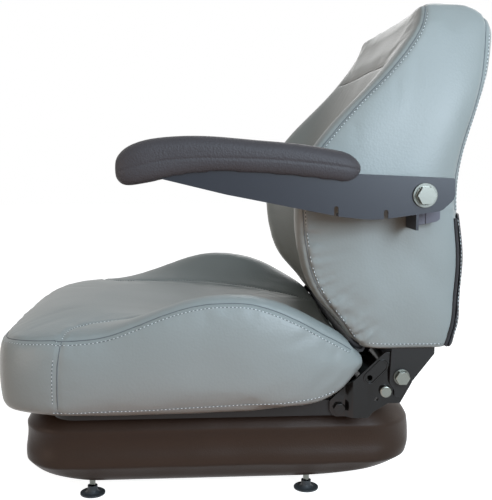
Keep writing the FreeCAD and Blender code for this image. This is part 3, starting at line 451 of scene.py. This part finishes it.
# Dark cord along a seam, painted shade of its fold
seamShadeLook = {"radiusMm": 0.6, "liftMm": 0.1, "calmSteps": 12}


# stitch rows beside seams, each moved sideways by its own distance in millimetres
def rowsBeside(lines, surface, asides):
    spaced = [evenly(line, stitchLook["pitchMm"] * mm) for line in lines]
    return [calmed(laidOn(line, surface, aside, stitchLook["liftMm"]), stitchLook["calmSteps"])
            for line, aside in zip(spaced, asides)]


# dark cords laid along seams, painted shade in their folds
def seamShadesAlong(lines, surface):
    return [calmed(laidOn(line, surface, 0, seamShadeLook["liftMm"]), seamShadeLook["calmSteps"]) for line in lines]


# Seat cushion: a box of panels with side bolsters and a dished middle
seatLook = {"voxelMm": 6.0, "softenSteps": 3, "insetMm": 1.2, "pressure": 4.0, "frames": 20, "capMm": 3.0, "heldMm": 5.0,
            "rests": lambda p: p.z < 116 and abs(p.x) < 190,
            "stepMm": 2.0, "depth": 1.6, "width": 3.0, "gather": 0.8, "gatherMm": 11.0, "gatherReach": 5.0,
            "gatherTopMm": 400, "gatherSide": 0, "asides": [-6, 6, 6, -6, 6, 0, 0, 0, 0], "foldedSeams": 5,
            "uneven": 0.9, "unevenMm": 70.0,
            "folds": [((232, 120, 122), (226, 175, 176), 1.6, 9), ((231, 142, 118), (222, 190, 160), 1.5, 7),
                      ((234, 60, 122), (233, 118, 150), 1.0, 12), ((-232, 120, 122), (-226, 175, 176), 1.6, 9),
                      ((-231, 142, 118), (-222, 190, 160), 1.5, 7), ((60, 150, 190), (130, 60, 200), 0.9, 14),
                      ((-70, 140, 190), (-120, 40, 203), 0.9, 14)]}
seatSide = [(224, -172, 207), (228, -160, 207), (229, -118, 211), (229, -84, 222), (229, -48, 238), (229, -10, 248),
            (229, 28, 251), (228, 59, 248), (227, 76, 242), (227, 107, 230), (226, 137, 215),
            (224, 168, 200), (216, 190, 186)]
seatFront = [(224, -172, 209), (217, -202, 207), (199, -226, 204), (164, -245, 199), (100, -254, 197), (0, -258, 196),
             (-100, -254, 197), (-164, -245, 199), (-199, -226, 204), (-217, -202, 207), (-224, -172, 209)]
seatCorner = [(226, -164, 207), (229, -167, 185), (230, -169, 155), (227, -170, 128), (220, -169, 110)]
seatInner = [(222, -164, 207), (205, -161, 207), (188, -155, 207), (168, -132, 211), (158, -98, 215), (149, -60, 214),
             (143, 1, 210), (140, 84, 198), (140, 186, 182)]
seatHem = [(226, -178, 112), (230, -134, 112), (231, -68, 114), (231, 9, 118), (231, 61, 120), (231, 97, 124),
           (229, 149, 127), (226, 172, 132)]
seatSeams = [seatSide, mirroredMm(seatSide), seatFront, seatCorner, mirroredMm(seatCorner), seatInner,
             mirroredMm(seatInner)]
seatLines = [smoothLine(points, seatLook["stepMm"]) for points in seatSeams]
seat, seatLines = stuffed("seatCushion", copyOf("seat_cushion"), seatLines, seatLook)
drawnIn(seat, seatLines, seatLook)
standsFor(seat, "seat_cushion")
seatSkin = surfaceOf(seat)
seatHems = [settled(smoothLine(points, seatLook["stepMm"]), seatSkin) for points in (seatHem, mirroredMm(seatHem))]
seatRows = rowsBeside(seatLines + seatHems, seatSkin, seatLook["asides"])
stitched("seatStitches", seatRows, stitchLook, "seat")
# thin dark cord under each stitch row, painted shade of its needle line
corded("seatNeedleLines", seatRows, stitchLook["needleMm"], seamShade, "seat")
# painted shade along the seat's seams
seatFolds = seamShadesAlong(seatLines[:seatLook["foldedSeams"]], seatSkin)
corded("seatFolds", seatFolds, seamShadeLook["radiusMm"], seamShade, "seat")
print("seat cushion: %d faces, %d stitch rows" % (len(seat.data.polygons), len(seatRows)))


# Backrest: winged cushion, its slots for the frame filled in before it is covered
backLook = {"voxelMm": 6.0, "softenSteps": 3, "insetMm": 1.2, "pressure": 4.0, "frames": 20, "capMm": 3.0, "heldMm": 5.0,
            "rests": lambda p: p.z < 190 or (p.y > 296 and p.z < 350),
            "stepMm": 2.0, "depth": 1.6, "width": 3.0, "gather": 7.0, "gatherMm": 8.0, "gatherReach": 8.0,
            "gatherTopMm": 400, "gatherSide": 3, "asides": [-4, 4, -5, 5, 0, 0, 0], "foldedSeams": 4,
            "uneven": 0.9, "unevenMm": 80.0,
            "folds": [((221, 150, 262), (221, 215, 232), 1.2, 9), ((221, 165, 232), (221, 240, 205), 1.2, 8),
                      ((221, 235, 330), (221, 300, 250), 1.0, 14), ((-221, 150, 262), (-221, 215, 232), 1.2, 9),
                      ((-221, 165, 232), (-221, 240, 205), 1.2, 8)],
            "bottom": 184.5,
            "bores": [(256, 377, 15.6, 198, 219.5), (268, 351, 6.7, 200, 219.5), (256, 377, 11.6, 190, 212)]}


# the cushion with its frame slots and bolt bores closed; bores as y, z, radius and both ends in x
def backrestBlank():
    bm = copyOf("backrest_cushion")
    filler = copyOf("back_frame")
    bmesh.ops.bisect_plane(filler, geom=filler.verts[:] + filler.edges[:] + filler.faces[:], dist=0.001 * mm,
                           plane_co=(0, 0, backLook["bottom"] * mm), plane_no=(0, 0, 1), clear_inner=True)
    bmesh.ops.holes_fill(filler, edges=[edge for edge in filler.edges if edge.is_boundary])
    for y, z, radius, inner, outer in backLook["bores"]:
        for side in (1, -1):
            middle = Vector((side * (inner + outer) / 2, y, z)) * mm
            place = Matrix.Translation(middle) @ Matrix.Rotation(math.pi / 2, 4, "Y")
            bmesh.ops.create_cone(filler, cap_ends=True, segments=24, radius1=radius * mm, radius2=radius * mm,
                                  depth=(outer - inner) * mm, matrix=place)
    extra = bpy.data.meshes.new("frameFiller")
    filler.to_mesh(extra)
    filler.free()
    bm.from_mesh(extra)
    bpy.data.meshes.remove(extra)
    return bm


backEdge = [(204, 197, 188), (212, 184, 199), (215, 168, 219), (215, 151, 244), (215, 137, 268), (215, 131, 284),
            (215, 127, 309), (215, 122, 333), (215, 121, 357), (215, 126, 400), (215, 139, 434),
            (215, 150, 446), (215, 171, 475), (214, 193, 503), (211, 228, 537), (206, 256, 570),
            (200, 266, 586), (190, 271, 598), (165, 281, 606), (110, 288, 610), (0, 290, 611)]
backRear = [(220, 322, 356), (219, 321, 380), (216, 325, 420), (212, 332, 453), (208, 338, 478), (203, 346, 528),
            (198, 349, 560), (189, 350, 581), (168, 349, 594), (110, 347, 599), (0, 347, 600)]
backHem = [(216, 206, 193), (219, 240, 191), (219, 270, 191), (216, 300, 191)]
backCross = [(160, 233, 540), (120, 240, 540), (60, 246, 540), (0, 248, 540), (-60, 246, 540), (-120, 240, 540),
             (-160, 233, 540)]
backSeams = [backEdge, mirroredMm(backEdge), backRear, mirroredMm(backRear), backCross]
backLines = [smoothLine(points, backLook["stepMm"]) for points in backSeams]
back, backLines = stuffed("backrestCushion", backrestBlank(), backLines, backLook)
drawnIn(back, backLines, backLook)
standsFor(back, "backrest_cushion")
backSkin = surfaceOf(back)
backHems = [settled(smoothLine(points, backLook["stepMm"]), backSkin) for points in (backHem, mirroredMm(backHem))]
backRows = rowsBeside(backLines + backHems, backSkin, backLook["asides"])
stitched("backrestStitches", backRows, stitchLook, "seat")
# thin dark cord under each stitch row, painted shade of its needle line
corded("backrestNeedleLines", backRows, stitchLook["needleMm"], seamShade, "seat")
# painted shade along the backrest's seams
backSeamShades = seamShadesAlong(backLines[:backLook["foldedSeams"]], backSkin)
corded("backrestFolds", backSeamShades, seamShadeLook["radiusMm"], seamShade, "seat")
print("backrest: %d faces, %d stitch rows" % (len(back.data.polygons), len(backRows)))

# Black panel on the lower rear of the backrest, sewn round its edge
rearLook = {"voxelMm": 3.0, "softenSteps": 6, "stepMm": 2.0, "asides": [0, 0, 0], "pipingMm": 2.4, "pipingAside": 6,
            "pipingLift": 0.8, "pipingSteps": 12}
rearPanel = newPiece("rearPanel", copyOf("rear_cover"), blackVinyl)
addEvenFaces(rearPanel, rearLook)
baked(rearPanel)
rearPanel.data.shade_smooth()
standsFor(rearPanel, "rear_cover")
rearSkin = surfaceOf(rearPanel)
rearSide = [(209, 310, 188), (212, 318, 215), (212, 322, 250), (212, 324, 285), (212, 323, 320), (211, 319, 348)]
rearTop = [(207, 323, 347), (150, 328, 347), (0, 329, 347), (-150, 328, 347), (-207, 323, 347)]
rearLines = [settled(smoothLine(points, rearLook["stepMm"]), rearSkin)
             for points in (rearSide, mirroredMm(rearSide), rearTop)]
stitched("rearPanelStitches", rowsBeside(rearLines, rearSkin, rearLook["asides"]), stitchLook, "seat")
pipingSide = [(x + rearLook["pipingAside"], y - rearLook["pipingAside"], z) for x, y, z in rearSide]
pipingLines = [settled(smoothLine(points, rearLook["stepMm"]), backSkin)
               for points in (pipingSide, mirroredMm(pipingSide))]
piping = [calmed(laidOn(line, backSkin, 0, rearLook["pipingLift"]), rearLook["pipingSteps"]) for line in pipingLines]
corded("rearPanelPiping", piping, rearLook["pipingMm"], blackVinyl, "seat")
print("rear panel: %d faces" % len(rearPanel.data.polygons))

# Black skirt that hangs from the backrest between the hinges and closes the gap behind the cushion
skirtLook = {"plan": [(150, 262), (150, 246), (150, 234), (147, 228), (141, 226), (90, 227), (30, 226), (-30, 226),
                      (-90, 227), (-141, 226), (-147, 228), (-150, 234), (-150, 246), (-150, 262)],
             "low": 124, "high": 187, "thick": 2.0, "sharpDegrees": 50}
bm = bmesh.new()
hemPoints = [bm.verts.new(Vector((x, y, skirtLook["low"])) * mm) for x, y in skirtLook["plan"]]
hem = [bm.edges.new(pair) for pair in zip(hemPoints, hemPoints[1:])]
risen = bmesh.ops.extrude_edge_only(bm, edges=hem)["geom"]
bmesh.ops.translate(bm, verts=[item for item in risen if isinstance(item, bmesh.types.BMVert)],
                    vec=(0, 0, (skirtLook["high"] - skirtLook["low"]) * mm))
bmesh.ops.recalc_face_normals(bm, faces=bm.faces)
skirt = newPiece("backrestSkirt", bm, blackVinyl)
wall = skirt.modifiers.new("wall", "SOLIDIFY")
wall.thickness = skirtLook["thick"] * mm
wall.offset = 0
baked(skirt)
skirt.data.set_sharp_from_angle(angle=math.radians(skirtLook["sharpDegrees"]))
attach(skirt, "seat")

# Black cord in the crease between cushion and backrest: it closes the crease, and its black is painted shade there;
# thinner ends rise beside the bolsters
creaseShadeLook = {"half": [(0, 205, 174), (60, 205, 174.5), (120, 204, 176), (148, 203, 177.5), (160, 202, 180),
                     (180, 201.5, 182), (196, 201, 184)], "radius": 8.0, "step": 6.0,
            "end": [(190, 203, 184), (197, 197, 187), (200, 191, 191), (201, 185, 197)], "endRadius": 5.0}
creaseShadeLine = smoothLine(mirroredMm(creaseShadeLook["half"])[:0:-1] + creaseShadeLook["half"], creaseShadeLook["step"])
creaseShadeCord = corded("creaseWelt", [[(place, None) for place in creaseShadeLine]], creaseShadeLook["radius"], blackVinyl, "seat")
endLines = [[(place, None) for place in smoothLine(points, creaseShadeLook["step"])]
            for points in (creaseShadeLook["end"], mirroredMm(creaseShadeLook["end"]))]
creaseShadeEnds = corded("creaseWeltEnds", endLines, creaseShadeLook["endRadius"], blackVinyl, "seat")
print("skirt and welt")

# Boot: rings from the tray up, as height, half width, front, rear, corner radius and crease in millimetres
bootLook = {"rings": [(0.0, 154.3, -156.8, 156.8, 22, 0.9), (3.3, 160.3, -187.8, 208.8, 42, 0),
                      (8.6, 165.3, -212.8, 251.8, 54, 0), (16.2, 170.3, -224.8, 269.8, 60, 0.1),
                      (25.5, 178.3, -231.8, 282.3, 64, 0.75), (37.0, 178.3, -233.3, 287.3, 66, 0),
                      (47.0, 174.3, -231.8, 287.8, 66, 0.2), (60.0, 173.3, -229.8, 286.3, 64, 0),
                      (72.5, 177.3, -230.3, 283.3, 64, 0.8), (85.0, 170.3, -222.8, 276.8, 62, 0),
                      (94.6, 163.3, -203.3, 261.3, 58, 0.9)],
            "top": 95, "wall": 2.4, "wander": 1.6, "wanderMm": 75.0, "dent": 1.2, "dentMm": 38.0, "dentBase": 0.6,
            "cornerSegments": 6, "longEdge": 60, "cuts": 9}


def edgesAt(bm, height):
    near = 1e-7
    return [edge for edge in bm.edges if all(abs(vertex.co.z - height * mm) < near for vertex in edge.verts)]


def bootSkin():
    bm = bmesh.new()
    crease = bm.edges.layers.float.new("crease_edge")
    rings = []
    for height, half, front, rear, radius, sharp in bootLook["rings"]:
        square = bmesh.ops.create_grid(bm, x_segments=1, y_segments=1, size=1)["verts"]
        for vertex in square:
            vertex.co = Vector((half * vertex.co.x, rear if vertex.co.y > 0 else front, height)) * mm
        bmesh.ops.bevel(bm, geom=square, offset=radius * mm, segments=bootLook["cornerSegments"], profile=0.5,
                        affect="VERTICES", material=-1)
        ring = edgesAt(bm, height)
        bmesh.ops.delete(bm, geom=list({face for edge in ring for face in edge.link_faces}), context="FACES_ONLY")
        longEdges = [edge for edge in ring if edge.calc_length() > bootLook["longEdge"] * mm]
        bmesh.ops.subdivide_edges(bm, edges=longEdges, cuts=bootLook["cuts"])
        ring = edgesAt(bm, height)
        for edge in ring:
            edge[crease] = sharp
        rings.append(ring)
    for low, high in zip(rings, rings[1:]):
        bmesh.ops.bridge_loops(bm, edges=low + high)
    bmesh.ops.recalc_face_normals(bm, faces=bm.faces)
    return bm


boot = newPiece("suspensionBoot", bootSkin(), bootSheet)
addSubdivision(boot, 2)
baked(boot)
normals = [vertex.normal.copy() for vertex in boot.data.vertices]
for vertex, normal in zip(boot.data.vertices, normals):
    loose = math.sin(math.pi * min(1, max(0, vertex.co.z / mm / bootLook["top"])))
    flat = Vector((vertex.co.x, vertex.co.y, 0))
    vertex.co.z += bootLook["wander"] * mm * loose * noise.noise(flat / (bootLook["wanderMm"] * mm))
    dented = bootLook["dentBase"] + noise.noise(vertex.co / (bootLook["dentMm"] * mm))
    vertex.co -= normal * bootLook["dent"] * mm * loose * dented
wall = boot.modifiers.new("wall", "SOLIDIFY")
wall.thickness = bootLook["wall"] * mm
wall.offset = -1
baked(boot)
boot.data.shade_smooth()
standsFor(boot, "suspension_boot")
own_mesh(boot)
for nodeName in ("suspension_spring_left", "suspension_spring_right"):
    spring = newPiece(nodeName.replace("_", "") + "Coil", copyOf(nodeName), springWire)
    standsFor(spring, nodeName)
    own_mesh(spring)
print("boot: %d faces" % len(boot.data.polygons))

# Armrest pads: one moulding each, with the parting line of its mould on both faces
padLook = {"voxelMm": 2.6, "softenSteps": 8, "lineDepth": 1.0, "lineWidth": 1.2, "lineStep": 1.0, "acrossMm": 508}
padParting = [(283, -93, 404), (283, -86, 405), (283, -63, 411), (283, -39, 416), (283, 2, 419), (283, 46, 418.5),
              (283, 84, 417), (283, 134, 412.5), (283, 176, 407), (276, 186, 405)]
for side, sign in (("left", 1), ("right", -1)):
    nodeName = "armrest_pad_" + side
    pad = newPiece("armrestPad" + side.capitalize(), copyOf(nodeName), padFoam)
    addEvenFaces(pad, padLook)
    addSubdivision(pad, 1)
    baked(pad)
    padSkin = surfaceOf(pad)
    inner = [(padLook["acrossMm"] - x, y, z) for x, y, z in padParting]
    lines = [smoothLine([(sign * x, y, z) for x, y, z in points], padLook["lineStep"]) for points in (padParting, inner)]
    parting = treeOf([place for line in lines for place, normal in laidOn(line, padSkin)])
    normals = [vertex.normal.copy() for vertex in pad.data.vertices]
    for vertex, normal in zip(pad.data.vertices, normals):
        gap = parting.find(vertex.co)[2] / mm
        vertex.co -= normal * padLook["lineDepth"] * mm * math.exp(-(gap / padLook["lineWidth"]) ** 2)
    pad.data.shade_smooth()
    standsFor(pad, nodeName)
print("armrest pads")

# Rigid pieces that show: the same shapes with eased edges, in millimetres
easedEdges = {"armrest_bracket_left": 1.4, "armrest_bracket_right": 1.4, "hinge_bracket_left": 1.0,
              "hinge_bracket_right": 1.0, "back_frame": 0.6, "ear_bolts": 0.6, "hinge_bolts": 0.7,
              "hinge_washers": 0.3, "stop_bolts": 0.5, "arm_bolts": 0.8, "arm_washers": 0.4,
              "armrest_stop_left": 0.6, "armrest_stop_right": 0.6, "stud_feet": 0.5, "mounting_studs": 0.3}
easedLook = {"flatDegrees": 0.5, "sharpDegrees": 35, "segments": 2}
foldedNodes = ("armrest_bracket_left", "armrest_bracket_right")
bendLook = {"shortest": 100, "above": 385, "radius": 6.0, "segments": 4, "near": 0.01}
# the stop blocks take the grey of painted window light
finishOfNode = {"armrest_stop_left": stopBlockGreyLit, "armrest_stop_right": stopBlockGreyLit, "arm_washers": dullZinc,
                "hinge_washers": dullZinc}


# rounds the bend along the top outer edge of a folded bracket
def roundBend(bm):
    side = max(abs(vertex.co.x) for vertex in bm.verts)
    bend = [edge for edge in bm.edges if edge.calc_length() > bendLook["shortest"] * mm
            and all(abs(abs(vertex.co.x) - side) < bendLook["near"] * mm and vertex.co.z > bendLook["above"] * mm
                    for vertex in edge.verts)]
    bmesh.ops.bevel(bm, geom=bend, offset=bendLook["radius"] * mm, segments=bendLook["segments"], profile=0.5,
                    affect="EDGES", material=-1)


for nodeName, width in easedEdges.items():
    bm = copyOf(nodeName)
    bmesh.ops.dissolve_limit(bm, angle_limit=math.radians(easedLook["flatDegrees"]), verts=bm.verts, edges=bm.edges)
    words = nodeName.split("_")
    pieceName = words[0] + "".join(word.capitalize() for word in words[1:])
    finish = finishOfNode.get(nodeName, finishOfSlot[slotOf[nodeName]])
    if nodeName in foldedNodes:
        roundBend(bm)
    piece = newPiece(pieceName, bm, finish)
    piece.data.set_sharp_from_angle(angle=math.radians(easedLook["sharpDegrees"]))
    eased = piece.modifiers.new("easedEdges", "BEVEL")
    eased.width = width * mm
    eased.segments = easedLook["segments"]
    eased.limit_method = "ANGLE"
    eased.angle_limit = math.radians(easedLook["sharpDegrees"])
    standsFor(piece, nodeName)
print("eased pieces: %d" % len(easedEdges))

# Studio: pale floor that keeps a soft shadow, white behind, broad lamps as place, aim, size, power and colour.
# The floor sends warm light back to the part, as the photo's floor does
studioLook = {"floor": "#c0c0bf", "glow": 0.94, "bounce": "#6e5a4a", "sky": 0.2, "floorHalf": 6, "floorGap": 0.0002,
              "lamps": [("windowSoftbox", (1.35, 0.45, 1.25), (0.15, 0.1, 0.35), 0.8, 13, "#d4ecff"),
                        ("sideSoftbox", (1.34, 0.68, 0.7), (0.2, 0.28, 0.46), 0.45, 15, "#e0f0ff"),
                        ("lowSoftbox", (1.4, 0.62, 0.36), (0.25, 0.22, 0.36), 0.4, 1, "#dcecff"),
                        ("frontFill", (1.1, -2.0, 0.35), (0, 0, 0.25), 1.2, 14, "#ffe4d2"),
                        ("farFill", (-1.8, 0.8, 1.2), (0, 0, 0.3), 1.4, 12, "#ffffff"),
                        ("rearFill", (-0.4, 2.4, 1.0), (0, 0, 0.3), 1.4, 10, "#ffffff"),
                        ("floorBounce", (0.5, 0.0, -0.02), (0.5, 0.0, 1.0), 0.5, 0.4, "#d97a3c")]}


# 1 where the eye looks straight at a surface, or sees it mirrored or through glass
def seenDirectly(tree):
    path = addNode(tree, "ShaderNodeLightPath").outputs
    direct = addNode(tree, "ShaderNodeMath", {0: path["Is Camera Ray"], 1: path["Is Glossy Ray"]}, operation="MAXIMUM")
    seen = addNode(tree, "ShaderNodeMath", {0: direct.outputs[0], 1: path["Is Transmission Ray"]}, operation="MAXIMUM")
    return seen.outputs[0]


def paleFloor():
    material, tree = newMaterial("paleFloor")
    matt = addNode(tree, "ShaderNodeBsdfDiffuse", {"Color": toLinear(studioLook["floor"])})
    warm = addNode(tree, "ShaderNodeBsdfDiffuse", {"Color": toLinear(studioLook["bounce"])})
    glow = addNode(tree, "ShaderNodeEmission", {"Color": white, "Strength": studioLook["glow"]})
    shown = addNode(tree, "ShaderNodeAddShader", {0: glow.outputs[0], 1: matt.outputs[0]})
    either = addNode(tree, "ShaderNodeMixShader", {0: seenDirectly(tree), 1: warm.outputs[0], 2: shown.outputs[0]})
    addNode(tree, "ShaderNodeOutputMaterial", {"Surface": either.outputs[0]})
    return material


bm = bmesh.new()
floorPlace = Matrix.Translation((0, 0, cadLow.z - studioLook["floorGap"]))
bmesh.ops.create_grid(bm, x_segments=1, y_segments=1, size=studioLook["floorHalf"], matrix=floorPlace)
newPiece("floor", bm, paleFloor())
world = bpy.data.worlds.new("studio")
scene.world = world
world.use_nodes = True
sky = world.node_tree
sky.nodes.clear()
skyLight = addNode(sky, "ShaderNodeBackground", {"Color": white, "Strength": studioLook["sky"]})
skyWhite = addNode(sky, "ShaderNodeBackground", {"Color": white, "Strength": 1.0})
skyMix = addNode(sky, "ShaderNodeMixShader", {0: seenDirectly(sky), 1: skyLight.outputs[0], 2: skyWhite.outputs[0]})
addNode(sky, "ShaderNodeOutputWorld", {"Surface": skyMix.outputs[0]})
for name, place, aim, size, power, colour in studioLook["lamps"]:
    lamp = bpy.data.lights.new(name, "AREA")
    lamp.size = size
    lamp.energy = power
    lamp.color = toLinear(colour)[:3]
    holder = bpy.data.objects.new(name, lamp)
    holder.location = place
    holder.visible_camera = False
    holder.rotation_euler = (Vector(aim) - Vector(place)).to_track_quat("-Z", "Y").to_euler()
    scene.collection.objects.link(holder)

# Camera of the photograph: place, right and up in the shared frame, focal length for the long side
cameraLook = {"place": (1.145, -0.0027, 0.422), "right": (0.06366, 0.99797, 0.0), "up": (-0.1199, 0.00765, 0.99276),
              "lens": 56.38, "sensor": 36, "near": 0.01}
camera = bpy.data.cameras.new("photoCamera")
camera.sensor_width = cameraLook["sensor"]
camera.lens = cameraLook["lens"]
camera.clip_start = cameraLook["near"]
right = Vector(cameraLook["right"]).normalized()
up = Vector(cameraLook["up"]).normalized()
behind = right.cross(up).normalized()
turn = Matrix((right, behind.cross(right), behind)).transposed().to_4x4()
viewer = bpy.data.objects.new("photoCamera", camera)
viewer.matrix_world = Matrix.Translation(cameraLook["place"]) @ turn
scene.collection.objects.link(viewer)
scene.camera = viewer
print("studio and camera")
